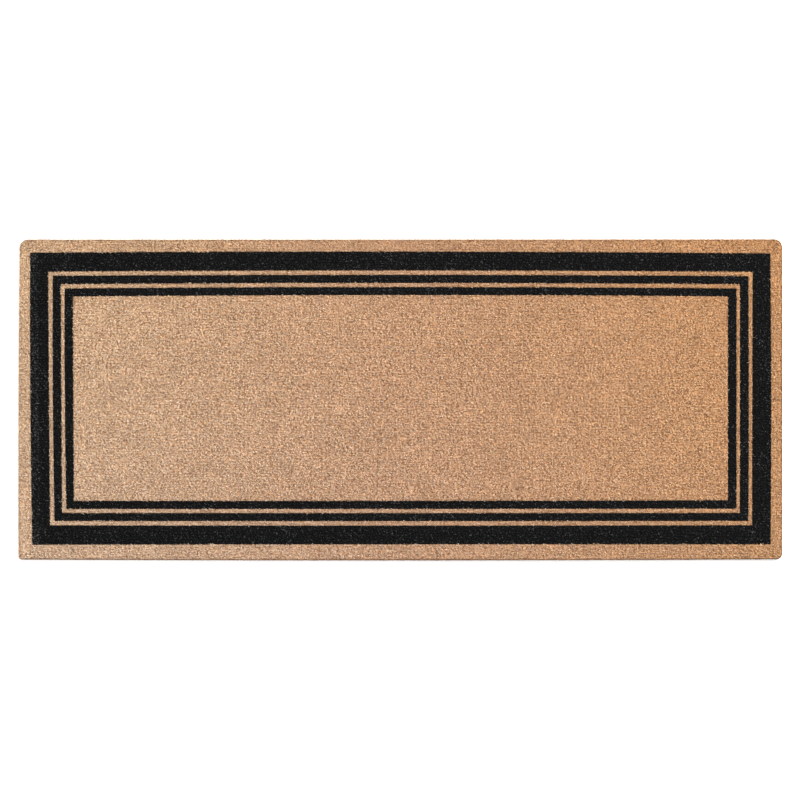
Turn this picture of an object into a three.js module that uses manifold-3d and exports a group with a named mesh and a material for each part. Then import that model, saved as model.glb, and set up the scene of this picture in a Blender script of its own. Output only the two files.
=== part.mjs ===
// Coir door mat with a printed triple border.
//
// Millimetres, +Z up. The origin is the centre of the underside, so the mat
// lies on z = 0. +X runs along the long side and +Y towards the back edge.
//
// The mat is a thin vinyl backing with cut coir tufts rooted in it. The tufts
// are of two kinds, natural and dyed black, and they stand in seven zones that
// lie inside one another: a natural margin, a wide black band, a natural
// stripe, a narrow black band, a second natural stripe, a second narrow black
// band, and the natural centre field. Each zone of tufts is one closed solid
// that stands on the backing.

import * as THREE from 'three';
import { mergeVertices } from 'three/addons/utils/BufferGeometryUtils.js';
import Module from 'manifold-3d';

// ---- driving dimensions -------------------------------------------------

const MAT_LENGTH = 1447.8;      // along X, 57 in
const MAT_WIDTH = 609.6;        // along Y, 24 in
const MAT_HEIGHT = 15.0;        // backing and pile together
const CORNER_RADII = {          // outer corners, trimmed by hand and not all alike
  frontLeft: 6.5, frontRight: 11.0, backRight: 14.5, backLeft: 17.0,
};

const BACKING_THICKNESS = 2.4;  // vinyl layer under the tufts
const BACKING_EDGE = 0.4;       // eased edge of the vinyl
const PILE_EDGE = 1.6;          // tufts shorn slightly round along the cut edge
const GAP = 0.3;                // clearance between neighbouring solids

// Natural margin between the cut edge and the wide black band. The print sits
// a little towards the back edge, so the front margin is the widest.
const MARGIN_LEFT = 22.7;
const MARGIN_RIGHT = 22.0;
const MARGIN_FRONT = 31.7;
const MARGIN_BACK = 23.5;

const OUTER_BAND = 34.6;        // wide black band
const OUTER_STRIPE = 8.8;       // natural stripe inside it
const MIDDLE_BAND = 15.0;       // narrow black band
const INNER_STRIPE = 8.2;       // second natural stripe
const INNER_BAND = 14.8;        // second narrow black band

// ---- materials ----------------------------------------------------------

const coirNatural = new THREE.MeshStandardMaterial({
  name: 'coir_natural', color: 0xc3997a, roughness: 0.95, metalness: 0.0,
});
const coirBlack = new THREE.MeshStandardMaterial({
  name: 'coir_black', color: 0x1d1c1d, roughness: 0.85, metalness: 0.0,
});
const vinyl = new THREE.MeshStandardMaterial({
  name: 'backing_vinyl', color: 0x2a2724, roughness: 0.6, metalness: 0.0,
});

// ---- rectangles ---------------------------------------------------------

// A rectangle is { x0, x1, y0, y1 }. inset() moves each side inwards.
const inset = (r, left, right = left, front = left, back = left) => ({
  x0: r.x0 + left, x1: r.x1 - right, y0: r.y0 + front, y1: r.y1 - back,
});

const MAT = {
  x0: -MAT_LENGTH / 2, x1: MAT_LENGTH / 2, y0: -MAT_WIDTH / 2, y1: MAT_WIDTH / 2,
};
const EDGES = [MAT];
EDGES.push(inset(MAT, MARGIN_LEFT, MARGIN_RIGHT, MARGIN_FRONT, MARGIN_BACK));
for (const width of [OUTER_BAND, OUTER_STRIPE, MIDDLE_BAND, INNER_STRIPE, INNER_BAND]) {
  EDGES.push(inset(EDGES[EDGES.length - 1], width));
}

function trace(path, r) {
  path.moveTo(r.x0, r.y0);
  path.lineTo(r.x1, r.y0);
  path.lineTo(r.x1, r.y1);
  path.lineTo(r.x0, r.y1);
  path.closePath();
  return path;
}

// The mat's outline with its rounded corners, moved inwards by 'by'.
function traceOutline(path, r, by) {
  const { x0, x1, y0, y1 } = inset(r, by);
  const a = CORNER_RADII.frontLeft - by;
  const b = CORNER_RADII.frontRight - by;
  const c = CORNER_RADII.backRight - by;
  const d = CORNER_RADII.backLeft - by;
  path.moveTo(x0 + a, y0);
  path.lineTo(x1 - b, y0);
  path.absarc(x1 - b, y0 + b, b, -Math.PI / 2, 0, false);
  path.lineTo(x1, y1 - c);
  path.absarc(x1 - c, y1 - c, c, 0, Math.PI / 2, false);
  path.lineTo(x0 + d, y1);
  path.absarc(x0 + d, y1 - d, d, Math.PI / 2, Math.PI, false);
  path.lineTo(x0, y0 + a);
  path.absarc(x0 + a, y0 + a, a, Math.PI, 1.5 * Math.PI, false);
  return path;
}

// ---- solids -------------------------------------------------------------

const wasm = await Module();
wasm.setup();

function toManifold(geometry) {
  const g = geometry.clone();
  g.deleteAttribute('normal');
  g.deleteAttribute('uv');
  const merged = mergeVertices(g, 1e-4);
  return new wasm.Manifold(new wasm.Mesh({
    numProp: 3,
    vertProperties: new Float32Array(merged.attributes.position.array),
    triVerts: new Uint32Array(merged.index.array),
  }));
}

function toGeometry(manifold) {
  const mesh = manifold.getMesh();
  const g = new THREE.BufferGeometry();
  g.setAttribute('position', new THREE.BufferAttribute(new Float32Array(mesh.vertProperties), 3));
  g.setIndex(new THREE.BufferAttribute(new Uint32Array(mesh.triVerts), 1));
  const flat = g.toNonIndexed();
  flat.computeVertexNormals();
  return flat;
}

// A slab of the mat's outline with eased edges above and below.
function roundedSlab(thickness, ease, steps) {
  const shape = traceOutline(new THREE.Shape(), MAT, ease);
  const g = new THREE.ExtrudeGeometry(shape, {
    depth: thickness - 2 * ease,
    bevelEnabled: true,
    bevelThickness: ease,
    bevelSize: ease,
    bevelSegments: steps,
    curveSegments: 8,
    steps: 1,
  });
  g.translate(0, 0, ease);
  return g;
}

// A straight-walled zone of pile between an outer and an inner rectangle.
function zone(outer, inner, height) {
  const shape = trace(new THREE.Shape(), inset(outer, GAP / 2));
  if (inner) shape.holes.push(trace(new THREE.Path(), inset(inner, -GAP / 2)));
  return new THREE.ExtrudeGeometry(shape, { depth: height, bevelEnabled: false, steps: 1 });
}

// The margin follows the mat's rounded outline, and only its top outer edge is
// shorn round: a taller slab with both edges eased is cut off at its foot, and
// the print's rectangle is cut out of it.
function marginZone(inner, height) {
  const foot = 4 * PILE_EDGE;
  const slab = roundedSlab(height + foot, PILE_EDGE, 3);
  slab.translate(0, 0, -foot);
  const below = new THREE.BoxGeometry(MAT_LENGTH * 1.2, MAT_WIDTH * 1.2, 2 * foot);
  below.translate(0, 0, -foot);
  const middle = new THREE.ExtrudeGeometry(
    trace(new THREE.Shape(), inset(inner, -GAP / 2)),
    { depth: height * 3, bevelEnabled: false, steps: 1 },
  );
  middle.translate(0, 0, -height);
  return toGeometry(
    toManifold(slab).subtract(toManifold(below)).subtract(toManifold(middle)),
  );
}

const PILE_BASE = BACKING_THICKNESS + GAP;
const PILE_HEIGHT = MAT_HEIGHT - PILE_BASE;

function piece(name, geometry, material, z) {
  const mesh = new THREE.Mesh(geometry, material);
  mesh.name = name;
  mesh.position.set(0, 0, z);
  return mesh;
}

// ---- assembly -----------------------------------------------------------

const mat = new THREE.Group();
mat.name = 'door_mat';

mat.add(piece(
  'vinyl_backing',
  roundedSlab(BACKING_THICKNESS, BACKING_EDGE, 2),
  vinyl, 0,
));

const pile = new THREE.Group();
pile.name = 'pile';
pile.position.set(0, 0, PILE_BASE);
mat.add(pile);

pile.add(piece(
  'coir_pile_outer_margin', marginZone(EDGES[1], PILE_HEIGHT), coirNatural, 0,
));
const ZONES = [
  ['black_pile_outer_band', coirBlack],
  ['coir_pile_outer_stripe', coirNatural],
  ['black_pile_middle_band', coirBlack],
  ['coir_pile_inner_stripe', coirNatural],
  ['black_pile_inner_band', coirBlack],
  ['coir_pile_centre_field', coirNatural],
];
ZONES.forEach(([name, material], i) => {
  pile.add(piece(name, zone(EDGES[i + 1], EDGES[i + 2], PILE_HEIGHT), material, 0));
});

export default mat;
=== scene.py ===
"""Coir door mat: the looks.

The pile is made as what it is. Under it lies the vinyl sheet. On that stands,
for each zone of the print, a dense body of packed tuft roots with tuft-scale
relief, and out of it grow the tufts themselves: bundles of separate coir
fibres, each a closed, tapered, bent strand. Lengths here are in millimetres
until a mesh is written, and Blender gets metres.
"""
import math

import bpy
import numpy as np
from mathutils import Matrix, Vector


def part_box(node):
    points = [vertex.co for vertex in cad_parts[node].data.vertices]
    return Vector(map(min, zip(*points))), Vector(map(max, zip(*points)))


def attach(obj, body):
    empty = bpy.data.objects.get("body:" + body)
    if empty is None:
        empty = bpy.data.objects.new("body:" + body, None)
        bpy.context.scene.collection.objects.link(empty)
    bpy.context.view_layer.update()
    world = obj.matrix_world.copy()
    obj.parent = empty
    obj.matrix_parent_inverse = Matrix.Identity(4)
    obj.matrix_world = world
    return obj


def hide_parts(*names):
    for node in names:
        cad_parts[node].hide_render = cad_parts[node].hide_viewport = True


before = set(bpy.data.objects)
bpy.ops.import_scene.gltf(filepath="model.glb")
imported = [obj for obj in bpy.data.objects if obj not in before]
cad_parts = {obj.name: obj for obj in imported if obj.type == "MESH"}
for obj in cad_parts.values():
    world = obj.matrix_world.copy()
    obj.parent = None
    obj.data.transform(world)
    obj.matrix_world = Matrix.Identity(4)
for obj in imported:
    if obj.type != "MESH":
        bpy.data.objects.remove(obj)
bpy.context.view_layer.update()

SEED = 719
E = 1e-3  # millimetres to metres

# ------------------------------------------------------------------ layout

# Zones from the cut edge inwards.
ZONES = [
    ("coir_pile_outer_margin", "natural"),
    ("black_pile_outer_band", "black"),
    ("coir_pile_outer_stripe", "natural"),
    ("black_pile_middle_band", "black"),
    ("coir_pile_inner_stripe", "natural"),
    ("black_pile_inner_band", "black"),
    ("coir_pile_centre_field", "natural"),
]
HALF_GAP = 0.15  # the CAD zones stand 0.3 mm apart


def node_mm(node):
    lo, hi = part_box(node)
    return np.array(lo) / E, np.array(hi) / E


LO, HI = node_mm(ZONES[0][0])
BACK_LO, BACK_HI = node_mm("vinyl_backing")
TOP = HI[2]
SHEET_T = BACK_HI[2]
LX, LY = HI[0], HI[1]  # half length and half width

# The straight nominal lines of the print: 0 is the cut edge, 6 the field's.
XL, XR, YF, YB = [LO[0]], [HI[0]], [LO[1]], [HI[1]]
for node, _ in ZONES[1:]:
    a, b = node_mm(node)
    XL.append(a[0] - HALF_GAP)
    YF.append(a[1] - HALF_GAP)
    XR.append(b[0] + HALF_GAP)
    YB.append(b[1] + HALF_GAP)

# How each line really wanders, in mm: constant, slope and bow over the side,
# whose ends are -1 and 1. A mat is trimmed and dyed by hand.
WANDER = {
    "L": [(-0.88, 0.65, 1.1), (-1.05, -2.63, 1.82), (0.0, -2.71, -0.17),
          (-1.88, -2.74, 2.84), (-0.8, -2.25, 0.71),
          (-2.27, -3.03, 2.57), (-1.1, -1.85, 0.62)],
    "R": [(0.35, 0.67, -0.05), (0.99, 0.27, -1.72), (-0.32, 1.07, 0.41),
          (1.94, 0.51, -1.37), (0.05, 0.6, -0.27),
          (1.75, 0.51, 0.25), (0.5, 0.3, -0.76)],
    "F": [(0.55, 0.25, 1.91), (-0.92, 0.3, -0.56), (-0.23, 0.19, 0.83),
          (-0.34, 0.08, 0.31), (-0.22, 0.06, 0.25),
          (-0.45, 0.36, 0.36), (0.03, 0.63, 0.88)],
    "B": [(0.86, 0.19, 0.17), (0.64, -0.73, -2.9), (-0.41, -0.17, -3.01),
          (-0.03, -0.27, -2.4), (-0.46, -0.1, -3.11),
          (-0.02, 0.05, -3.43), (-0.47, 0.13, -3.69)],
}
CORNERS = {(-1, -1): 6.5, (1, -1): 11.0, (1, 1): 14.5, (-1, 1): 17.0}


def along(table, t, lines, at):
    """The offset at each point: between the print's lines it changes evenly."""
    keys = np.array([np.polyval(c[::-1], t) for c in table])  # lines x points
    xs = np.array(lines)
    order = np.argsort(xs)
    xs, keys = xs[order], keys[order]
    i = np.clip(np.searchsorted(xs, at) - 1, 0, len(xs) - 2)
    f = np.clip((at - xs[i]) / (xs[i + 1] - xs[i]), 0.0, 1.0)
    n = np.arange(len(at))
    return keys[i, n] * (1 - f) + keys[i + 1, n] * f


def place(x, y):
    """Nominal to real place: rounded corners, then the wander of the lines."""
    x, y = np.array(x, float), np.array(y, float)
    for (sx, sy), r in CORNERS.items():
        u = sx * x - (LX - r)
        v = sy * y - (LY - r)
        m = (u > 0) & (v > 0)
        if m.any():
            s = np.maximum(u[m], v[m]) / np.maximum(np.hypot(u[m], v[m]), 1e-9)
            x[m] = sx * (LX - r + u[m] * s)
            y[m] = sy * (LY - r + v[m] * s)
    zero = [(0.0, 0.0, 0.0)]
    dx = along(WANDER["L"] + zero + WANDER["R"][::-1], y / LY, XL + [0.0] + XR[::-1], x)
    dy = along(WANDER["F"] + zero + WANDER["B"][::-1], x / LX, YF + [0.0] + YB[::-1], y)
    return x + dx, y + dy


# How round the dye left each rectangle's corners: the back left one most.
ROUND = {1: 3.2, 2: 2.2, 3: 1.6, 4: 2.2, 5: 1.6, 6: 1.6}
ROUND_BACK_LEFT = {1: 3.6, 2: 5.4, 3: 2.0, 4: 4.6, 5: 2.0, 6: 2.0}


def zone_of(x, y):
    """Which zone a nominal point is in."""
    z = np.zeros(len(x), int)
    for k in range(1, 7):
        r = np.where((x < 0) & (y > 0), ROUND_BACK_LEFT[k], ROUND[k])
        u = np.maximum(np.maximum(XL[k] + r - x, x - XR[k] + r), 0)
        v = np.maximum(np.maximum(YF[k] + r - y, y - YB[k] + r), 0)
        z[np.hypot(u, v) < r] = k
    return z


# ------------------------------------------------------------------- noise


def hashed(i, j, salt):
    """Repeatable numbers in 0..1 for whole-number cells."""
    h = (i.astype(np.int64) * 73856093) ^ (j.astype(np.int64) * 19349663) ^ (salt * 83492791)
    h = (h ^ (h >> 13)) * 1274126177
    h = (h ^ (h >> 16)) & 0xFFFFFF
    return h / float(0x1000000)


def smooth_noise(x, y, size, salt):
    """Value noise in -1..1 with features of about that size."""
    u, v = x / size, y / size
    i, j = np.floor(u), np.floor(v)
    fu, fv = u - i, v - j
    fu, fv = fu * fu * (3 - 2 * fu), fv * fv * (3 - 2 * fv)
    a, b = hashed(i, j, salt), hashed(i + 1, j, salt)
    c, d = hashed(i, j + 1, salt), hashed(i + 1, j + 1, salt)
    return 2 * ((a * (1 - fu) + b * fu) * (1 - fv) + (c * (1 - fu) + d * fu) * fv) - 1


def cells(x, y, size, salt):
    """Distance to the nearest and next nearest tuft centre, over size."""
    u, v = x / size, y / size
    i, j = np.floor(u), np.floor(v)
    d1 = np.full(len(x), 9.0)
    d2 = np.full(len(x), 9.0)
    for di in (-1, 0, 1):
        for dj in (-1, 0, 1):
            p = i + di + 0.15 + 0.7 * hashed(i + di, j + dj, salt)
            q = j + dj + 0.15 + 0.7 * hashed(i + di, j + dj, salt + 1)
            d = np.hypot(u - p, v - q)
            d2 = np.where(d < d1, d1, np.minimum(d2, d))
            d1 = np.minimum(d1, d)
    return d1, d2


def pits(x, y):
    """How deep in one of the pile's small pits each point is, 0 to 1; the pits are also painted dark, as
    painted shade.
    """
    u, v = x / PIT_EVERY, y / PIT_EVERY
    i, j = np.floor(u), np.floor(v)
    best = np.zeros(len(x))
    for di in (-1, 0, 1):
        for dj in (-1, 0, 1):
            a, b = i + di, j + dj
            d = PIT_EVERY * np.hypot(u - a - hashed(a, b, 91), v - b - hashed(a, b, 92))
            deep = 0.15 + 0.85 * hashed(a, b, 93) ** PIT_POWER
            best = np.maximum(best, deep * np.clip((PIT_SIZE - d) / 0.5, 0, 1))
    return best


PIT_EVERY = 6.0  # mm between pits
PIT_SIZE = 1.35  # their radius
PIT_POWER = 1.3
PIT_SHADE, PIT_DROP = 0.60, 0.8  # how much darker, as painted shade, and lower the fibres there are
PIT_OPEN = 0.55  # a deeper pit holds no standing fibres
PIT_FIBRES, PIT_FLOOR = 5, 12.5


# ---------------------------------------------------------- mesh and pieces


def write_mesh(name, co, faces, smooth=True, floats=None, slots=None, uv=None):
    """One mesh from arrays. faces is a list of (n, k) index arrays."""
    me = bpy.data.meshes.new(name)
    co = np.asarray(co, np.float32)
    me.vertices.add(len(co))
    me.vertices.foreach_set("co", (co * E).ravel())
    loops = np.concatenate([f.ravel() for f in faces]).astype(np.int32)
    sizes = np.concatenate([np.full(len(f), f.shape[1]) for f in faces])
    starts = np.concatenate([[0], np.cumsum(sizes)[:-1]]).astype(np.int32)
    me.loops.add(len(loops))
    me.loops.foreach_set("vertex_index", loops)
    me.polygons.add(len(starts))
    me.polygons.foreach_set("loop_start", starts)
    if smooth is True or smooth is False:
        smooth = np.full(len(starts), smooth)
    me.polygons.foreach_set("use_smooth", smooth)
    if slots is not None:
        me.polygons.foreach_set("material_index", slots.astype(np.int32))
    for key, values in (floats or {}).items():
        me.attributes.new(key, "FLOAT", "POINT").data.foreach_set(
            "value", values.astype(np.float32)
        )
    if uv is not None:  # seen from above, stretched over the piece's own box
        lo, hi = co[:, :2].min(0), co[:, :2].max(0)
        flat = (co[:, :2] - lo) / (hi - lo) * 0.996 + 0.002
        me.uv_layers.new(name=uv).data.foreach_set("uv", flat[loops].ravel())
    me.update(calc_edges=True)
    return me


def piece(name, mesh, materials, slot, *nodes):
    ob = bpy.data.objects.new(name, mesh)
    bpy.context.scene.collection.objects.link(ob)
    for m in materials:
        mesh.materials.append(m)
    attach(ob, "root")
    if nodes:
        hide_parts(*nodes)
    return ob


# --------------------------------------------------------------- materials


class Tree:
    """Short names for building a node tree."""

    def __init__(self, name):
        self.mat = bpy.data.materials.new(name)
        self.mat.use_nodes = True
        self.nt = self.mat.node_tree
        self.bsdf = self.nt.nodes["Principled BSDF"]

    def node(self, kind, inputs=None, **props):
        n = self.nt.nodes.new(kind)
        for k, v in props.items():
            setattr(n, k, v)
        for k, v in (inputs or {}).items():
            self.put(n, k, v)
        return n

    def put(self, n, key, value):
        sock = n.inputs[key]
        if isinstance(value, bpy.types.NodeSocket):
            self.nt.links.new(value, sock)
        else:
            sock.default_value = value

    def math(self, op, a, b=0.0, clamp=False):
        n = self.node("ShaderNodeMath", operation=op, use_clamp=clamp)
        self.put(n, 0, a)
        self.put(n, 1, b)
        return n.outputs[0]

    def ramp(self, fac, stops):
        n = self.node("ShaderNodeValToRGB", {"Fac": fac})
        e = n.color_ramp.elements
        e[0].position, e[0].color = stops[0][0], (*stops[0][1], 1)
        e[1].position, e[1].color = stops[-1][0], (*stops[-1][1], 1)
        for p, c in stops[1:-1]:
            e.new(p).color = (*c, 1)
        return n.outputs["Color"]

    def grey(self, fac, stops):
        return self.ramp(fac, [(p, (v, v, v)) for p, v in stops])

    def mix(self, kind, fac, a, b):
        n = self.node("ShaderNodeMix", data_type="RGBA", blend_type=kind)
        self.put(n, "Factor", fac)
        self.put(n, "A", a)
        self.put(n, "B", b)
        return n.outputs["Result"]

    def coords(self, long=(1, 1, 1), turn=0.0, shift=0.0):
        """Object coordinates, turned about Z and then stretched."""
        tc = self.node("ShaderNodeTexCoord")
        mp = self.node("ShaderNodeMapping", {"Vector": tc.outputs["Object"]}, vector_type="TEXTURE")
        mp.inputs["Location"].default_value = (shift, shift * 0.7, 0)
        mp.inputs["Scale"].default_value = long
        mp.inputs["Rotation"].default_value = (0, 0, turn)
        return mp.outputs["Vector"]

    def felt(self, turns, width, length, low=0.50, high=0.72):
        """Crossing layers of fibres as 0..1: in each, lines that wide and long
        run one way, and the brightest layer lies on top."""
        best = None
        for n, turn in enumerate(turns):
            f = self.noise(
                self.coords((length / width, 1, 1), turn, 0.13 * (n + 1)), 1.0 / width, 1.5, 0.5, 0.25
            )
            f = self.grey(f, [(low, 0.0), (high, 1.0)])
            f = self.math("MULTIPLY", f, 0.72 + 0.28 * ((n * 2) % 5) / 4)
            best = f if best is None else self.math("MAXIMUM", best, f)
        return best

    def noise(self, vec, scale, detail=2.0, rough=0.5, distort=0.0):
        return self.node(
            "ShaderNodeTexNoise",
            {"Vector": vec, "Scale": scale, "Detail": detail, "Roughness": rough,
             "Distortion": distort},
        ).outputs["Fac"]

    def attr(self, name):
        return self.node("ShaderNodeAttribute", attribute_name=name).outputs["Fac"]

    def bump(self, height, strength, distance):
        n = self.node("ShaderNodeBump", {"Height": height, "Strength": strength,
                                         "Distance": distance})
        self.nt.links.new(n.outputs["Normal"], self.bsdf.inputs["Normal"])


def coir_drift_and_painted_light(t, colour):
    """The coir's colour drift over the mat, partly its own colour and partly painted light: paler and
    pinker at its left end, more golden at its right, greyer towards the front, with soft mottling. The
    fall of light from left to right is painted into this drift."""
    tc = t.node("ShaderNodeTexCoord")
    sep = t.node("ShaderNodeSeparateXYZ", {"Vector": tc.outputs["Object"]})
    x = t.math("MULTIPLY_ADD", sep.outputs["X"], 0.66)
    x.node.inputs[2].default_value = 0.5
    drift = t.ramp(x, [(0.0, TINT_LEFT), (0.5, TINT_MID), (1.0, TINT_RIGHT)])
    y = t.math("MULTIPLY_ADD", sep.outputs["Y"], 1.6)
    y.node.inputs[2].default_value = 0.5
    drift = t.mix("MULTIPLY", 1.0, drift, t.ramp(y, [(0.0, TINT_FRONT), (1.0, TINT_BACK)]))
    mottle = t.noise(t.coords(), 22.0, 2.0, 0.5)
    soft = t.grey(mottle, [(0.3, 0.95), (0.7, 1.04)])
    hue = t.noise(t.coords(shift=0.31), 420.0, 1.0, 0.5)
    hue = t.ramp(hue, [(0.30, (1.065, 1.0, 0.79)), (0.70, (0.905, 1.0, 1.23))])
    out = t.mix("MULTIPLY", 1.0, colour, drift)
    out = t.mix("MULTIPLY", 1.0, out, hue)
    return t.mix("MULTIPLY", 1.0, out, soft)


# The drift's colours: partly the coir's own, partly painted light, with the left end painted brighter.
TINT_LEFT = (1.020, 1.110, 1.125)
TINT_MID = (0.878, 0.838, 0.780)
TINT_RIGHT = (0.845, 0.725, 0.531)
TINT_FRONT = (0.985, 1.012, 1.085)
TINT_BACK = (1.005, 0.990, 0.960)

COIR_STOPS = [
    (0.00, (0.120, 0.050, 0.021)),
    (0.22, (0.335, 0.160, 0.074)),
    (0.42, (0.560, 0.365, 0.235)),
    (0.62, (0.760, 0.545, 0.380)),
    (0.82, (0.860, 0.655, 0.480)),
    (1.00, (0.920, 0.740, 0.575)),
]
BLACK_STOPS = [
    (0.00, (0.0015, 0.0015, 0.0016)),
    (0.40, (0.0045, 0.0046, 0.0048)),
    (0.60, (0.0126, 0.0134, 0.0146)),
    (0.80, (0.0490, 0.0512, 0.0550)),
    (1.00, (0.1470, 0.1485, 0.1500)),
]


def coir_fibre():
    t = Tree("coir_natural_fibre")
    vec = t.coords()
    fleck = t.noise(vec, 900.0, 2.0, 0.6)
    tone = t.math("ADD", t.attr("tone"), t.math("MULTIPLY", t.math("SUBTRACT", fleck, 0.5), 0.35))
    colour = t.ramp(tone, COIR_STOPS)
    colour = coir_drift_and_painted_light(t, colour)
    t.put(t.bsdf, "Base Color", colour)
    t.put(t.bsdf, "Roughness", t.grey(t.noise(vec, 1400.0, 2.0), [(0.3, 0.62), (0.75, 0.92)]))
    t.bsdf.inputs["Specular IOR Level"].default_value = 0.25
    t.bsdf.inputs["Sheen Weight"].default_value = 0.12
    t.bsdf.inputs["Sheen Roughness"].default_value = 0.45
    t.bump(t.noise(t.coords((1, 1, 4)), 2600.0, 2.0, 0.6), 0.35, 0.0002)
    return t.mat


def coir_roots():
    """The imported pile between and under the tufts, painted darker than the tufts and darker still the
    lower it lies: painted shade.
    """
    t = Tree("coir_natural_roots")
    felt = t.felt((0.35, 1.45, 2.5, 3.0), 0.00052, 0.0052)
    tone = t.math("MULTIPLY", felt, 0.45)
    # painted shade: the lower the roots lie, between the tufts and down the walls, the darker
    tone = t.math("ADD", tone, t.math("MULTIPLY", t.attr("height"), 0.22))
    tone = t.math("ADD", tone, 0.03)
    colour = t.ramp(tone, COIR_STOPS)
    colour = coir_drift_and_painted_light(t, colour)
    t.put(t.bsdf, "Base Color", colour)
    t.put(t.bsdf, "Roughness", t.grey(felt, [(0.0, 0.98), (1.0, 0.80)]))
    t.bsdf.inputs["Specular IOR Level"].default_value = 0.15
    t.bump(felt, 1.0, 0.0007)
    return t.mat


def black_fibre():
    t = Tree("coir_black_fibre")
    vec = t.coords()
    fleck = t.noise(vec, 700.0, 2.0, 0.6)
    tone = t.math("ADD", t.attr("tone"), t.math("MULTIPLY", t.math("SUBTRACT", fleck, 0.5), 0.3))
    t.put(t.bsdf, "Base Color", t.ramp(tone, BLACK_STOPS))
    t.put(t.bsdf, "Roughness", t.grey(t.noise(vec, 1100.0, 2.0), [(0.3, 0.42), (0.75, 0.78)]))
    t.bsdf.inputs["Specular IOR Level"].default_value = 0.16
    t.bump(t.noise(t.coords((1, 1, 4)), 2600.0, 2.0, 0.6), 0.3, 0.0002)
    return t.mat


def black_roots():
    t = Tree("coir_black_roots")
    felt = t.felt((0.35, 1.45, 2.5, 3.0), 0.00052, 0.0052)
    tone = t.math("MULTIPLY", felt, 0.42)
    # painted shade: the lower the roots lie, the darker
    tone = t.math("ADD", tone, t.math("MULTIPLY", t.attr("height"), 0.12))
    t.put(t.bsdf, "Base Color", t.ramp(tone, BLACK_STOPS))
    t.put(t.bsdf, "Roughness", t.grey(felt, [(0.0, 0.95), (1.0, 0.70)]))
    t.bsdf.inputs["Specular IOR Level"].default_value = 0.08
    t.bump(felt, 1.0, 0.0007)
    return t.mat


def vinyl():
    t = Tree("backing_vinyl")
    vec = t.coords()
    grain = t.node("ShaderNodeTexVoronoi", {"Vector": vec, "Scale": 520.0}).outputs["Distance"]
    cloud = t.noise(vec, 14.0, 4.0, 0.6)
    colour = t.ramp(cloud, [(0.3, (0.018, 0.016, 0.014)), (0.7, (0.034, 0.030, 0.026))])
    dust = t.grey(t.noise(vec, 95.0, 5.0, 0.7), [(0.55, 0.0), (0.8, 0.35)])
    colour = t.mix("MIX", dust, colour, (0.075, 0.062, 0.050, 1))
    t.put(t.bsdf, "Base Color", colour)
    t.put(t.bsdf, "Roughness", t.grey(cloud, [(0.3, 0.48), (0.7, 0.66)]))
    t.bump(grain, 0.5, 0.0006)
    return t.mat


# -------------------------------------------------------------- pile bodies

STEP = 2.7  # spacing of the pile bodies' grid
ROOT_TOP = 10.7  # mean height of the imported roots' surface
PILE_FOOT = SHEET_T + 0.05


def line_points(lines):
    """Grid lines that include every line of the print, and the index of each."""
    pts, at = [lines[0]], [0]
    for a, b in zip(lines[:-1], lines[1:]):
        n = max(2, int(round((b - a) / STEP)))
        pts.extend(a + (b - a) * (np.arange(1, n + 1) / n))
        at.append(len(pts) - 1)
    return np.array(pts), at


GX, IX = line_points(XL + XR[::-1])
GY, IY = line_points(YF + YB[::-1])


def edge_fall(x, y):
    """How far a nominal point is from the cut edge."""
    return np.minimum(np.minimum(LX - np.abs(x), LY - np.abs(y)), 60.0)


def relief(x, y):
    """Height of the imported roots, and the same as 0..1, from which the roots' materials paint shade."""
    d1, d2 = cells(x, y, 4.4, 11)
    tuft = np.clip((d2 - d1) * 1.6, 0, 1)  # 0 between tufts, 1 on them
    h = -1.9 + 2.6 * tuft
    h += 0.55 * smooth_noise(x, y, 2.6, 21)
    return ROOT_TOP + h, np.clip((h + 2.4) / 3.8, 0, 1)


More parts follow.
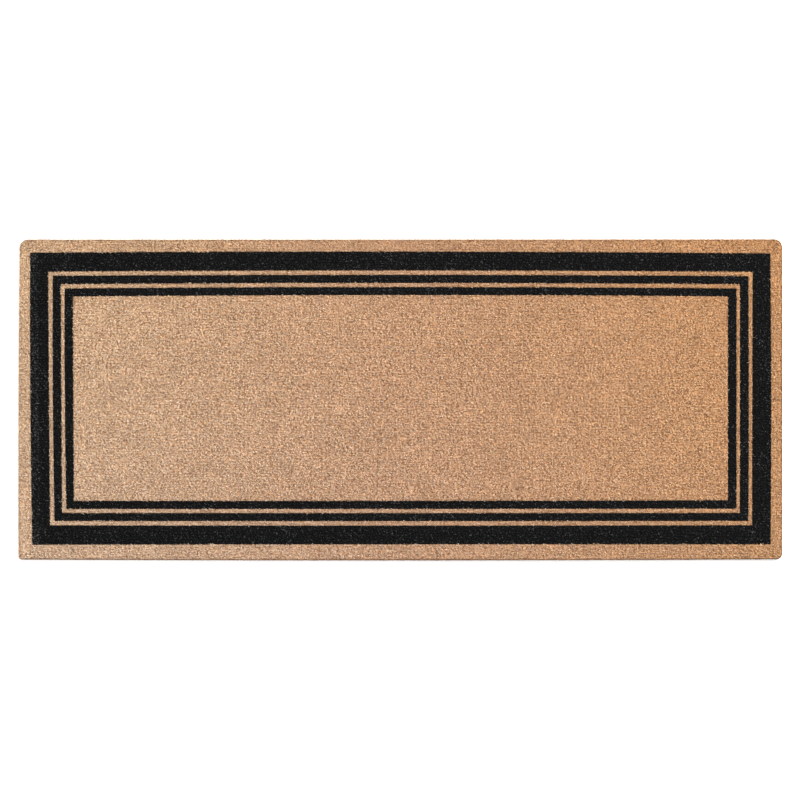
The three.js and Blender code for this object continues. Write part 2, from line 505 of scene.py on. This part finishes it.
def pile_body(k):
    """The closed body of zone k: relief on top, straight between zones, and a
    rough cut face where it meets the mat's edge."""
    I0, I1, J0, J1 = IX[k], IX[-1 - k], IY[k], IY[-1 - k]
    hole = None
    if k < 6:
        hole = (IX[k + 1], IX[-2 - k], IY[k + 1], IY[-2 - k])
    ii, jj = np.meshgrid(np.arange(I0, I1 + 1), np.arange(J0, J1 + 1), indexing="ij")
    keep = np.ones(ii.shape, bool)
    if hole:
        a, b, c, d = hole
        keep &= ~((ii > a) & (ii < b) & (jj > c) & (jj < d))
    index = np.full(ii.shape, -1)
    index[keep] = np.arange(keep.sum())
    gi, gj = ii[keep], jj[keep]
    x, y = GX[gi].copy(), GY[gj].copy()
    z, high = relief(x, y)
    eps = 0.0 if k == 0 else 0.1  # the zones don't share a wall
    x[gi == I0] += eps
    x[gi == I1] -= eps
    y[gj == J0] += eps
    y[gj == J1] -= eps
    if hole:
        on = (gj >= c) & (gj <= d) & (gi >= a) & (gi <= b)
        x[on & (gi == a)] -= 0.1
        x[on & (gi == b)] += 0.1
        y[on & (gj == c)] -= 0.1
        y[on & (gj == d)] += 0.1
    if k == 0:  # the body stays behind the fibres of the cut face
        rim = (gi == I0) | (gi == I1) | (gj == J0) | (gj == J1)
        pull = 0.9 + 0.35 * smooth_noise(x, y, 3.1, 31)
        x[gi == I0] += pull[gi == I0]
        x[gi == I1] -= pull[gi == I1]
        y[gj == J0] += pull[gj == J0]
        y[gj == J1] -= pull[gj == J1]
        z[rim] -= 1.0
    px, py = place(x, y)
    co = [np.c_[px, py, z]]
    high = [high]

    # top faces
    i, j = np.meshgrid(np.arange(I0, I1), np.arange(J0, J1), indexing="ij")
    i, j = i.ravel(), j.ravel()
    if hole:
        inside = (i >= a) & (i < b) & (j >= c) & (j < d)
        i, j = i[~inside], j[~inside]

    def at(p, q):
        return index[p - I0, q - J0]

    faces = [np.c_[at(i, j), at(i + 1, j), at(i + 1, j + 1), at(i, j + 1)]]

    def loop(i0, i1, j0, j1):
        """A rectangle of grid points, anticlockwise."""
        p = [(i, j0) for i in range(i0, i1)] + [(i1, j) for j in range(j0, j1)]
        p += [(i, j1) for i in range(i1, i0, -1)] + [(i0, j) for j in range(j1, j0, -1)]
        return np.array(p)

    def wall(ring, levels, outward, rough):
        """Rows of points down from the top ring to the foot, and their quads."""
        top = at(ring[:, 0], ring[:, 1])
        base = sum(len(c) for c in co)
        rows = [top]
        tx, ty, tz = co[0][top].T
        n = len(ring)
        nx = np.roll(ty, -1) - np.roll(ty, 1)
        ny = np.roll(tx, 1) - np.roll(tx, -1)
        s = np.maximum(np.hypot(nx, ny), 1e-9)
        nx, ny = nx / s, ny / s
        for m in range(1, levels + 1):
            f = m / levels
            h = tz * (1 - f) + PILE_FOOT * f
            off = 0.0
            if rough and m < levels:
                off = rough * smooth_noise(np.arange(n) * 1.0, np.full(n, m * 7.3), 1.7, 41 + m)
            elif rough:
                off = 0.3
            co.append(np.c_[tx + nx * off, ty + ny * off, h])
            # painted shade: the wall's colour darkens towards its foot
            high.append(np.full(n, 0.5 * (1 - f)))
            rows.append(base + (m - 1) * n + np.arange(n))
        for up, dn in zip(rows[:-1], rows[1:]):
            q = np.c_[dn, np.roll(dn, -1), np.roll(up, -1), up]
            faces.append(q if outward else q[:, ::-1])
        return {tuple(r): v for r, v in zip(ring.tolist(), rows[-1].tolist())}

    outer = wall(loop(I0, I1, J0, J1), 4 if k == 0 else 1, True, 0.35 if k == 0 else 0.0)
    if hole:
        inner = wall(loop(a, b, c, d), 1, False, 0.0)
        quads = []
        for i in range(a, b):
            quads.append((outer[i, J0], inner[i, c], inner[i + 1, c], outer[i + 1, J0]))
            quads.append((inner[i, d], outer[i, J1], outer[i + 1, J1], inner[i + 1, d]))
        for j in range(c, d):
            quads.append((outer[I0, j], outer[I0, j + 1], inner[a, j + 1], inner[a, j]))
            quads.append((inner[b, j], inner[b, j + 1], outer[I1, j + 1], outer[I1, j]))
        faces.append(np.array(quads))
        corners = [
            [inner[a, c]] + [outer[i, J0] for i in range(a, I0 - 1, -1)]
            + [outer[I0, j] for j in range(J0 + 1, c + 1)],
            [inner[b, c]] + [outer[I1, j] for j in range(c, J0 - 1, -1)]
            + [outer[i, J0] for i in range(I1 - 1, b - 1, -1)],
            [inner[b, d]] + [outer[i, J1] for i in range(b, I1 + 1)]
            + [outer[I1, j] for j in range(J1 - 1, d - 1, -1)],
            [inner[a, d]] + [outer[I0, j] for j in range(d, J1 + 1)]
            + [outer[i, J1] for i in range(I0 + 1, a + 1)],
        ]
        for p in corners:
            faces.append(np.array([p]))
    else:
        quads = [
            (outer[i, J0], outer[i, J1], outer[i + 1, J1], outer[i + 1, J0])
            for i in range(I0 + 1, I1 - 1)
        ]
        faces.append(np.array(quads))
        faces.append(np.array([
            [outer[I0 + 1, J0], outer[I0, J0]] + [outer[I0, j] for j in range(J0 + 1, J1 + 1)]
            + [outer[I0 + 1, J1]]]))
        faces.append(np.array([
            [outer[I1 - 1, J1], outer[I1, J1]] + [outer[I1, j] for j in range(J1 - 1, J0 - 1, -1)]
            + [outer[I1 - 1, J0]]]))
    co = np.concatenate(co)
    high = np.concatenate(high)
    return write_mesh(ZONES[k][0] + "_roots", co, faces, True, {"height": high}, uv="OFBake")


# ------------------------------------------------------------------ fibres


def unit(v):
    return v / np.maximum(np.linalg.norm(v, axis=1, keepdims=True), 1e-9)


def strands(points, widths, roll):
    """Closed three-sided strands along points (n, m, 3) with widths (n, m). An
    end whose widths are all nought comes to a point, any other is cut off flat.
    Returns vertices, each one's station, quads and triangles."""
    n, m, _ = points.shape
    co, station, first = [], [], []
    for s in range(m):
        first.append(len(co))
        if s in (0, m - 1) and not widths[:, s].any():
            co.append(points[:, s])
            station.append(s)
            continue
        a, b = points[:, max(s - 1, 0)], points[:, min(s + 1, m - 1)]
        d = unit(b - a)
        ref = np.where(np.abs(d[:, 2:3]) < 0.9, [[0.0, 0.0, 1.0]], [[1.0, 0.0, 0.0]])
        u = unit(np.cross(d, ref))
        v = np.cross(d, u)
        for q in range(3):
            ang = roll + q * 2 * math.pi / 3
            off = u * np.cos(ang)[:, None] + v * np.sin(ang)[:, None]
            co.append(points[:, s] + off * widths[:, s : s + 1] * 0.5)
            station.append(s)
    first.append(len(co))
    quads, tris = [], []
    for s in range(m - 1):
        lo, hi = first[s], first[s + 1]
        low_point, high_point = hi - lo == 1, first[s + 2] - hi == 1
        for q in range(3):
            r = (q + 1) % 3
            if low_point:
                tris.append((lo, hi + r, hi + q))
            elif high_point:
                tris.append((lo + q, lo + r, hi))
            else:
                quads.append((lo + q, lo + r, hi + r, hi + q))
    if first[1] == 3:
        tris.append((2, 1, 0))
    if len(co) - first[m - 1] == 3:
        e = first[m - 1]
        tris.append((e, e + 1, e + 2))
    base = (np.arange(n) * len(co))[:, None, None]
    quads = (base + np.array(quads, int).reshape(1, -1, 4)).reshape(-1, 4)
    tris = (base + np.array(tris, int).reshape(1, -1, 3)).reshape(-1, 3)
    return np.stack(co, 1).reshape(-1, 3), station, quads, tris


def tris_each(widths):
    """Triangles of one strand of that set."""
    m = widths.shape[1]
    points = int(not widths[:, 0].any()) + int(not widths[:, -1].any())
    return 6 * (m - 1) - 3 * points + (2 - points)


class Bundle:
    """Collects strands of one piece."""

    def __init__(self):
        self.co, self.quads, self.tris, self.tone, self.n = [], [], [], [], 0

    def add(self, points, widths, roll, tone):
        if not len(points):
            return
        co, station, quads, tris = strands(points, widths, roll)
        self.co.append(co)
        self.quads.append(quads + self.n)
        self.tris.append(tris + self.n)
        # painted shade: each fibre darker towards its foot
        foot_shade = np.interp(station, [0, points.shape[1] - 1], PAINTED_FOOT_SHADE)
        self.tone.append((tone[:, None] + foot_shade[None, :]).ravel())
        self.n += len(co)

    def mesh(self, name):
        faces = [np.concatenate(self.quads), np.concatenate(self.tris)]
        return write_mesh(
            name,
            np.concatenate(self.co),
            [f for f in faces if len(f)],
            True,
            {"tone": np.concatenate(self.tone)},
            uv="OFBake",
        )


PAINTED_FOOT_SHADE = (-0.08, 0.0)  # a fibre's tone from foot to tip: the foot is painted darker, painted shade deep in the pile
PITCH = 5.4  # between tufts along a row
ROW = 4.9  # between rows
STRAY_X, STRAY_Y = 0.85, 0.6  # how far tufts stray from their places
PER_TUFT, BENT = 10, 2  # fibres in a tuft, and how many of them are bent over
LOOSE = 0.060  # fibres that lie over the tufts, to the square millimetre
CONTRAST = 0.25  # spread of the fibres' tones
GRAIN_X, GRAIN_Y = 1.2, 0.75  # fibres lie along the rows more than across them


def make_tufts():
    """Every fibre of the pile, as sets of equal point counts: points, widths,
    roll, tone, where most of it shows, and its zone."""
    rng = np.random.default_rng(SEED)
    nx, ny = int(2 * LX / PITCH) + 2, int(2 * LY / ROW) + 2
    gx, gy = np.meshgrid(np.arange(nx), np.arange(ny), indexing="ij")
    cx = ((gx + 0.5 * (gy % 2)) * PITCH - LX - 1).ravel()
    cy = (gy * ROW - LY - 1).ravel()
    n = len(cx)
    cx, cy = cx + rng.normal(0, STRAY_X, n), cy + rng.normal(0, STRAY_Y, n)
    cy += 1.7 * smooth_noise(cx, cy, 38.0, 81)  # the rows aren't straight
    cx += 1.2 * smooth_noise(cx, cy, 29.0, 82)
    present = rng.random(n) > 0.04
    cx, cy = cx[present], cy[present]
    n = len(cx)
    lean_dir = rng.uniform(0, 2 * math.pi, n)
    back = cy > YB[1] + 1  # along the back margin the pile is brushed one way
    lean_dir[back] = 2.1 + rng.normal(0, 0.5, back.sum())
    lean = np.abs(rng.normal(0.65, 0.4, n))
    tuft_tone = rng.normal(0, 0.09, n)
    tall = rng.normal(0, 0.3, n)
    husky = rng.random(n) < DARK_TUFTS  # tufts of darker, shorter husk
    tall[husky] -= 0.6
    sets = []
    for f in range(PER_TUFT):
        a = rng.uniform(0, 2 * math.pi, n)
        r = np.abs(rng.normal(0, 1.15, n))
        spread = rng.uniform(0.2, 1.0, n)
        x0, y0 = cx + r * np.cos(a), cy + r * np.sin(a)
        lx = GRAIN_X * (lean * np.cos(lean_dir) + spread * np.cos(a))
        ly = GRAIN_Y * (lean * np.sin(lean_dir) + spread * np.sin(a))
        top = np.minimum(TOP - 0.8 + tall + rng.normal(0, 0.45, n), TOP + 0.35)
        tone = TONE + tuft_tone + rng.normal(0, CONTRAST, n)
        tone -= 0.46 * (rng.random(n) < DARK)
        w = rng.uniform(0.60, 1.05, n)
        nought = np.zeros(n)
        deep = rng.uniform(4.6, 6.4, n)
        stations = [np.c_[x0, y0, top - deep], np.c_[x0 + lx, y0 + ly, top]]
        widths = [nought, w]
        if f < BENT:
            stations.insert(1, np.c_[x0 + 0.25 * lx, y0 + 0.25 * ly, top - 0.42 * deep])
            stations[2][:, :2] += 0.9 * np.c_[lx, ly]
            stations[2][:, 2] -= 0.5
            widths.insert(1, w)
            widths[2] = w * 0.7
        sets.append((np.stack(stations, 1), np.stack(widths, 1), rng.uniform(0, 2.1, n), tone))

    # Fibres that lie over and between the tufts, at every depth.
    m = int(LOOSE * 4 * LX * LY)
    x0, y0 = rng.uniform(-LX, LX, m), rng.uniform(-LY, LY, m)
    a = rng.uniform(0, 2 * math.pi, m)
    back = y0 > YB[1] + 1
    a[back] = 2.1 + rng.normal(0, 0.5, back.sum())
    a = np.arctan2(GRAIN_Y * np.sin(a), GRAIN_X * np.cos(a))
    length = rng.uniform(2.4, 5.0, m)
    curl = rng.normal(0, 0.5, m)
    depth = rng.random(m) ** 0.8 * 2.8
    z = TOP - 0.6 - depth
    own = zone_of(x0, y0)
    ends = []
    for turn, sign in ((-curl, -1.0), (curl, 1.0)):
        ux, uy = sign * np.cos(a + turn), sign * np.sin(a + turn)
        reach = 0.5 * length
        for _ in range(2):  # an end in another colour's zone is shorter
            out = zone_of(x0 + ux * reach, y0 + uy * reach) != own
            reach[out] *= 0.45
        ends.append((ux * reach, uy * reach))
    (bx, by), (fx, fy) = ends
    mid = np.minimum(z + rng.uniform(0.1, 0.8, m), TOP + 0.3)
    p = np.stack([
        np.c_[x0 + bx, y0 + by, z - rng.uniform(0.3, 1.6, m)],
        np.c_[x0 + 0.38 * bx, y0 + 0.38 * by, mid],
        np.c_[x0 + 0.42 * fx, y0 + 0.42 * fy, mid - rng.uniform(-0.1, 0.4, m)],
        np.c_[x0 + fx, y0 + fy, z - rng.uniform(0.1, 1.4, m)],
    ], 1)
    w = rng.uniform(0.55, 0.92, m)
    # painted shade: the deeper a lying fibre, the darker
    tone = TONE + 0.03 - 0.06 * depth + rng.normal(0, CONTRAST, m)
    tone -= 0.42 * (rng.random(m) < DARK)
    sets.append((p, np.c_[0 * w, w, w * 0.9, 0 * w], rng.uniform(0, 2.1, m), tone))

    even_out(sets)
    for f in range(PER_TUFT):
        sets[f][3][husky] -= 0.38
    for f, (p, w, roll, tone) in enumerate(sets):
        if f < PER_TUFT:
            at = p[:, -2, :2] * 0.3 + p[:, -1, :2] * 0.7
            deep = pits(at[:, 0], at[:, 1])
            # painted shade: fibres in a pit are darker the deeper it is
            tone -= PIT_SHADE * deep
            p[:, 1:, 2] -= PIT_DROP * deep[:, None]
            ok = deep < PIT_OPEN
            sets[f] = tuple(a[ok] for a in sets[f])
        else:  # no fibre lies across a pit
            across = np.zeros(len(p))
            for g in (0.0, 0.3, 0.6, 1.0, 1.3, 1.6, 2.0, 2.4, 3.0):
                q = min(int(g), 2)
                at = p[:, q, :2] * (1 - g + q) + p[:, q + 1, :2] * (g - q)
                across = np.maximum(across, pits(at[:, 0], at[:, 1]))
            ok = across < 0.4
            sets[f] = tuple(a[ok] for a in sets[f])
    sets.append(pit_shade_floors(rng))
    out = []
    for p, w, roll, tone in sets:
        tone = np.where(tone > BRIGHT, BRIGHT + 0.45 * (tone - BRIGHT), tone)
        ok = edge_fall(p[:, 0, 0], p[:, 0, 1]) > 0.3
        p, w, roll, tone = p[ok], w[ok], roll[ok], tone[ok]
        # Everything is shorn at the cut edge, and slightly round there.
        limit = rng.normal(EDGE_OUT, 0.35, len(p))
        last = p.shape[1] - 1
        for s in range(last + 1):
            for c, half in ((0, LX), (1, LY)):
                p[:, s, c] = np.clip(p[:, s, c], -half - limit, half + limit)
        p[:, last, 2] -= 0.7 * np.exp(-np.maximum(edge_fall(p[:, last, 0], p[:, last, 1]), 0))
        if last == 3:
            sx, sy = p[:, 1:3, 0].mean(1), p[:, 1:3, 1].mean(1)
        else:
            sx = p[:, last - 1, 0] * 0.3 + p[:, last, 0] * 0.7
            sy = p[:, last - 1, 1] * 0.3 + p[:, last, 1] * 0.7
        jx = 1.6 * smooth_noise(sx, sy, 2.8, 96) + rng.normal(0, 0.3, len(sx))  # ragged lines
        jy = 1.6 * smooth_noise(sx, sy, 2.8, 97) + rng.normal(0, 0.3, len(sx))
        zone = zone_of(sx + jx, sy + jy)
        tone -= 0.09 * (sy > YB[1])
        front = YF[0] - sy  # the front edge is painted darker: painted shade on the rim that faces away from the light
        tone -= 0.20 * np.clip((front + 4.0) / 2.4, 0, 1) + 0.25 * np.clip((front + 2.0) / 1.0, 0, 1)
        out.append([placed(p), w, roll, tone, sx, sy, zone])
    return out


def pit_shade_floors(rng):
    """Dark strands lying at the bottom of the deeper pits, darker the deeper the pit: painted shade put
    where the pits are in shade.
    """
    i, j = np.meshgrid(np.arange(int(-LX / PIT_EVERY) - 1, int(LX / PIT_EVERY) + 1),
                       np.arange(int(-LY / PIT_EVERY) - 1, int(LY / PIT_EVERY) + 1), indexing="ij")
    i, j = i.ravel(), j.ravel()
    deep = 0.15 + 0.85 * hashed(i, j, 93) ** PIT_POWER
    x, y = PIT_EVERY * (i + hashed(i, j, 91)), PIT_EVERY * (j + hashed(i, j, 92))
    ok = (deep > PIT_OPEN - 0.05) & (zone_of(x, y) % 2 == 0) & (np.abs(x) < LX - 2) & (np.abs(y) < LY - 2)
    x, y, deep = [np.repeat(a[ok], PIT_FIBRES) for a in (x, y, deep)]
    n = len(x)
    turn = np.tile(np.arange(PIT_FIBRES), n // PIT_FIBRES) * math.pi / PIT_FIBRES + rng.normal(0, 0.3, n)
    half = rng.uniform(0.85, 1.2, n)
    x, y = x + rng.normal(0, 0.3, n), y + rng.normal(0, 0.3, n)
    z = PIT_FLOOR + rng.uniform(-0.25, 0.35, n)
    dx, dy = half * np.cos(turn), half * np.sin(turn)
    p = np.stack([np.c_[x - dx, y - dy, z], np.c_[x, y, z + 0.15], np.c_[x + dx, y + dy, z]], 1)
    w = rng.uniform(0.85, 1.2, n)
    # painted shade: darker the deeper the pit
    tone = 0.24 - 0.30 * deep + rng.normal(0, 0.05, n)
    return p, np.c_[0 * w, w, 0 * w], rng.uniform(0, 2.1, n), tone


def even_out(sets):
    """Shift tones so that every few millimetres have the same mean: fibres are
    blended well, and it is neighbours that differ."""
    cells = []
    for p, w, roll, tone in sets:
        f = 0.5 if len(p[0]) == 4 else 0.75
        at = p[:, 0, :2] * (1 - f) + p[:, -1, :2] * f
        cells.append(np.floor((at[:, 0] + 2 * LX) / 3.6).astype(int) * 4096
                     + np.floor((at[:, 1] + 2 * LY) / 3.6).astype(int))
    key = np.concatenate(cells)
    tone = np.concatenate([s[3] for s in sets])
    size = key.max() + 1
    mean = np.bincount(key, tone, size) / np.maximum(np.bincount(key, minlength=size), 1)
    for s, c in zip(sets, cells):
        s[3][:] -= 0.85 * (mean[c] - tone.mean())


TONE = 0.64  # the middle of the fibres' tones
BRIGHT = 0.74  # above it they differ less
DARK = 0.13  # the share of fibres that are much darker
DARK_TUFTS = 0.08  # the share of tufts that are, all of them
EDGE_OUT = 0.15  # how far tips reach past the cut edge


def edge_fibres():
    """The cut face: near-upright fibres side by side along the whole edge."""
    rng = np.random.default_rng(SEED + 5)
    runs = []
    corners = [(-LX, -LY), (LX, -LY), (LX, LY), (-LX, LY)]
    for q in range(4):
        (x0, y0), (x1, y1) = corners[q], corners[(q + 1) % 4]
        length = math.hypot(x1 - x0, y1 - y0)
        tx, ty = (x1 - x0) / length, (y1 - y0) / length
        nx, ny = ty, -tx
        for layer, (gap, inset) in enumerate(((0.95, 0.25), (1.2, 0.85))):
            m = int(length / gap)
            s = (np.arange(m) + 0.5) * gap + rng.normal(0, 0.3, m)
            lean = rng.normal(0, 1.5, m)
            low = PILE_FOOT + rng.uniform(-0.02, 0.6, m)
            top = TOP - 0.7 - 0.3 * (layer == 0) + rng.normal(0, 0.4, m)
            ins = inset - EDGE_OUT + rng.normal(0, 0.14, m)
            mid = (low + top) / 2 + rng.normal(0, 0.8, m)
            pts = []
            for f, zz, bow in ((0.0, low, 0.1), (0.5, mid, rng.normal(0, 0.28, m)), (1.0, top, 0.1)):
                ss = np.clip(s + lean * (f - 0.5), 0.2, length - 0.2)
                pts.append(np.c_[
                    x0 + tx * ss - nx * (ins - bow), y0 + ty * ss - ny * (ins - bow), zz
                ])
            w = rng.uniform(0.55, 0.95, m)
            runs.append((
                np.stack(pts, 1),
                np.c_[w, w, w * 0.7],
                rng.uniform(0, 2.1, m),
                # painted shade: the front cut face darker; painted light: the left cut face lighter
                0.54 - 0.42 * (q == 0) + 0.05 * (q == 3) + rng.normal(0, 0.17, m),
                np.full(m, q),
            ))
    return [np.concatenate([r[i] for r in runs]) for i in range(5)]


def placed(P):
    """The strands at their real places."""
    Q = P.copy()
    n, m, _ = P.shape
    x, y = place(P[:, :, 0].ravel(), P[:, :, 1].ravel())
    Q[:, :, 0], Q[:, :, 1] = x.reshape(n, m), y.reshape(n, m)
    return Q


# ------------------------------------------------------------------ backing


def backing():
    """The vinyl sheet: eased edges and a flat underside."""
    step = 6.0
    gx, gy = np.arange(-LX, LX + step / 2, (2 * LX) / round(2 * LX / step)), np.arange(
        -LY, LY + step / 2, (2 * LY) / round(2 * LY / step)
    )
    nx, ny = len(gx), len(gy)
    x, y = np.meshgrid(gx, gy, indexing="ij")
    x, y = x.ravel(), y.ravel()
    idx = np.arange(nx * ny).reshape(nx, ny)
    ring = np.concatenate([idx[:-1, 0], idx[-1, :-1], idx[:0:-1, -1], idx[0, :0:-1]])
    px, py = place(x, y)

    def offset(by):
        f = 1 - by / np.maximum(LX, 1)
        g = 1 - by / np.maximum(LY, 1)
        return px * f, py * g

    co, faces = [], []
    z_ripple = 0.05 * smooth_noise(px, py, 40.0, 61)
    x0, y0 = offset(0.45)
    x0r, y0r = px.copy(), py.copy()
    x0r[ring], y0r[ring] = x0[ring], y0[ring]
    co.append(np.c_[x0r, y0r, np.full(nx * ny, SHEET_T) + np.minimum(z_ripple, 0)])
    co.append(np.c_[x0r, y0r, np.zeros(nx * ny)])
    i, j = np.meshgrid(np.arange(nx - 1), np.arange(ny - 1), indexing="ij")
    i, j = i.ravel(), j.ravel()
    top = np.c_[idx[i, j], idx[i + 1, j], idx[i + 1, j + 1], idx[i, j + 1]]
    faces.append(top)
    faces.append((top + nx * ny)[:, ::-1])
    rows = [ring]
    n = len(ring)
    base = 2 * nx * ny
    for m, (z, by) in enumerate(((SHEET_T - 0.12, 0.12), (SHEET_T - 0.5, 0.0), (0.5, 0.0), (0.12, 0.12))):
        xx, yy = offset(by)
        co.append(np.c_[xx[ring], yy[ring], np.full(n, z)])
        rows.append(base + m * n + np.arange(n))
    rows.append(ring + nx * ny)
    for up, dn in zip(rows[:-1], rows[1:]):
        faces.append(np.c_[dn, np.roll(dn, -1), np.roll(up, -1), up])
    return write_mesh("vinyl_sheet", np.concatenate(co), faces, True, uv=None)


# -------------------------------------------------------------------- make

M_COIR, M_COIR_ROOT = coir_fibre(), coir_roots()
M_BLACK, M_BLACK_ROOT = black_fibre(), black_roots()
M_VINYL = vinyl()

sheet = piece("vinyl_sheet", backing(), [M_VINYL], "backing_vinyl", "vinyl_backing")

for k, (node, kind) in enumerate(ZONES):
    piece(
        node + "_roots", pile_body(k),
        [M_COIR_ROOT if kind == "natural" else M_BLACK_ROOT],
        "coir_" + kind, node,
    )

SETS = make_tufts()
PIECE_TRIS = 185_000


def tuft_piece(name, k, pick, extra=None):
    """One piece of zone k's fibres: those for which pick(x, y) holds."""
    node, kind = ZONES[k]
    b = Bundle()
    for p, w, roll, tone, sx, sy, zone in SETS:
        m = np.flatnonzero((zone == k) & pick(sx, sy))
        t = tone[m]
        if kind == "black":
            t = black_tone(t, sx[m], sy[m])
        b.add(p[m], w[m], roll[m], t)
    if extra is not None:
        b.add(*extra)
    ob = piece(name, b.mesh(name), [M_COIR if kind == "natural" else M_BLACK], "coir_" + kind, node)
    return ob


def black_tone(t, x, y):
    """Most dyed fibres are dark and a few are paler grey; the pale ones are painted glints, highlights
    painted into the colour. More of them, with a painted sheen over all the fibres, are in the outer part
    of the left band, some at the right, in patches, and towards the front and back."""
    u = hashed(np.floor(x * 31.0), np.floor(y * 29.0), 71)
    sheen_patches = np.clip(smooth_noise(x, y, 31.0, 74) + 0.5 * smooth_noise(x, y, 12.0, 75), 0, 1)
    ends_up = np.abs(y) > YB[6]  # the front and back bands show more grey, as more painted glints
    # painted highlight: the rare pale fibres stand in for glints
    t = 0.28 + (t - TONE) * 0.35 + (0.80 + 0.45 * sheen_patches + 0.12 * ends_up) * u ** 7
    left = np.clip((XL[1] + 17.5 - x) / 3.0, 0, 1) * (x < XL[2])
    right = np.clip((x - XR[1] + 13.0) / 6.0, 0, 1) * (x > XR[2])
    ends = np.clip((np.abs(y) - 215.0) / 60.0, 0, 1)
    # painted sheen: greyer over the outer left band, a little at the right and in patches
    painted_sheen = left * (0.33 + 0.08 * ends) + 0.03 * right + 0.05 * sheen_patches
    return t + painted_sheen * (1.0 + 0.45 * smooth_noise(x * 1.6, y, 7.0, 72))


def tris_of(k):
    return sum(tris_each(w) * int((zone == k).sum()) for _, w, _, _, _, _, zone in SETS)


# The field's fibres come in runs along the mat, and the wide band's in two.
runs = int(math.ceil(tris_of(6) / PIECE_TRIS))
x_field = np.linspace(XL[6], XR[6], runs + 1)
x_field[0], x_field[-1] = -1e6, 1e6
for r in range(runs):
    tuft_piece(
        f"centre_field_tufts_{r + 1}", 6,
        lambda x, y: (x >= x_field[r]) & (x < x_field[r + 1]),
    )
parts = int(math.ceil(tris_of(1) / PIECE_TRIS))
x_band = np.linspace(XL[1], XR[1], parts + 1)
x_band[0], x_band[-1] = -1e6, 1e6
for r in range(parts):
    tuft_piece(
        f"outer_band_tufts_{r + 1}", 1, lambda x, y: (x >= x_band[r]) & (x < x_band[r + 1])
    )
for k, name in ((2, "outer_stripe"), (3, "middle_band"), (4, "inner_stripe"), (5, "inner_band")):
    tuft_piece(name + "_tufts", k, lambda x, y: x > -1e6)

EP, EW, ER, ET, ES = edge_fibres()
EQ = placed(EP)


def side_of(x, y):
    """0 front, 1 right, 2 back, 3 left: the nearest side of the mat."""
    long_side = LY - np.abs(y) < LX - np.abs(x)
    return np.where(long_side, np.where(y > 0, 2, 0), np.where(x > 0, 1, 3))


for q, word in enumerate(("front", "right", "back", "left")):
    e = ES == q
    tuft_piece(
        f"margin_tufts_{word}", 0, lambda x, y: side_of(x, y) == q, (EQ[e], EW[e], ER[e], ET[e])
    )

# ------------------------------------------------------------ stage, lights

scene = bpy.context.scene
scene.view_settings.view_transform = "Standard"
scene.view_settings.look = "None"

floor_mesh = bpy.data.meshes.new("floor")
s = 30.0
floor_mesh.from_pydata(
    [(-s, -s, -0.0002), (s, -s, -0.0002), (s, s, -0.0002), (-s, s, -0.0002)], [], [(0, 1, 2, 3)]
)
floor = bpy.data.objects.new("floor", floor_mesh)
scene.collection.objects.link(floor)
ft = Tree("floor_white")
ft.put(ft.bsdf, "Base Color", (0.97, 0.97, 0.97, 1))
ft.put(ft.bsdf, "Roughness", 0.9)
ft.bsdf.inputs["Specular IOR Level"].default_value = 0.0
ft.bsdf.inputs["Emission Color"].default_value = (1.0, 1.0, 1.0, 1)
ft.bsdf.inputs["Emission Strength"].default_value = 0.09
floor_mesh.materials.append(ft.mat)

world = bpy.data.worlds.new("studio")
scene.world = world
world.use_nodes = True
bg = world.node_tree.nodes["Background"]
bg.inputs["Color"].default_value = (1.0, 1.0, 1.0, 1)
bg.inputs["Strength"].default_value = 0.742


def area(name, at, towards, size, power, colour):
    data = bpy.data.lights.new(name, "AREA")
    data.shape = "RECTANGLE"
    data.size, data.size_y = size
    data.energy = power
    data.color = colour
    ob = bpy.data.objects.new(name, data)
    ob.location = at
    ob.rotation_euler = (Vector(towards) - Vector(at)).to_track_quat("-Z", "Y").to_euler()
    scene.collection.objects.link(ob)
    return ob


area("key", (5.2, 3.2, 7.6), (0, 0, 0), (3.2, 3.2), 2205.0, (1.0, 0.99, 0.975))
area("fill", (-6.4, -3.4, 6.4), (0, 0, 0), (4.6, 4.6), 562.0, (1.0, 0.98, 0.95))

# Camera: almost straight above, a little towards the front edge.
cam_data = bpy.data.cameras.new("camera")
cam_data.sensor_width = 36.0
cam_data.lens = 600.0
cam = bpy.data.objects.new("camera", cam_data)
scene.collection.objects.link(cam)
scene.camera = cam
FRAME_W = 2 * LX * E * 800.0 / 763.45
dist = FRAME_W * cam_data.lens / cam_data.sensor_width
elevation = math.radians(86.5)
target = Vector((-0.0011, -0.0003, TOP * E))
cam.location = target + Vector((0, -math.cos(elevation), math.sin(elevation))) * dist
cam.rotation_euler = (math.pi / 2 - elevation, 0, 0)
cam_data.clip_start, cam_data.clip_end = 0.1, 100.0
